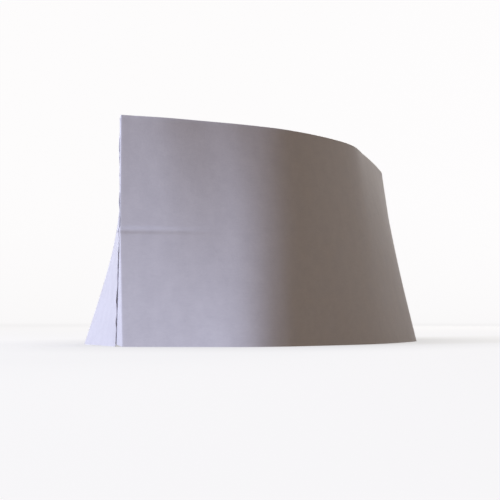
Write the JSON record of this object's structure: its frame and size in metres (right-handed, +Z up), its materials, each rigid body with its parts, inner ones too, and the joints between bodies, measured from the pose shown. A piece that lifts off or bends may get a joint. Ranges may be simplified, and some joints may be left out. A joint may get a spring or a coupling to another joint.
{
  "type": "paper chef hat",
  "caption": "Boat-shaped paper cook's cap that stands on its rim: tall side panels joined at pointed front and back seams, a folded-down crown and an open hollow for the head.",
  "frame": {"origin": "bottom centre of the cap's box, in the plane of the rim that it stands on", "axes": "+Z up from the rim to the upper edges, the front seam towards -Y, the wearer's left at +X"},
  "size_m": [0.1364, 0.2465, 0.1],
  "materials": {
    "panel_paper": "smooth uncoated white",
    "crown_paper": "smooth uncoated white",
    "flap_paper": "smooth uncoated white, glued down"
  },
  "bodies": {
    "root": {"side_panel_left": "panel_paper", "side_panel_right": "panel_paper", "crown": "crown_paper", "front_seam_flap": "flap_paper", "back_seam_flap": "flap_paper"}
  },
  "joints": []
}
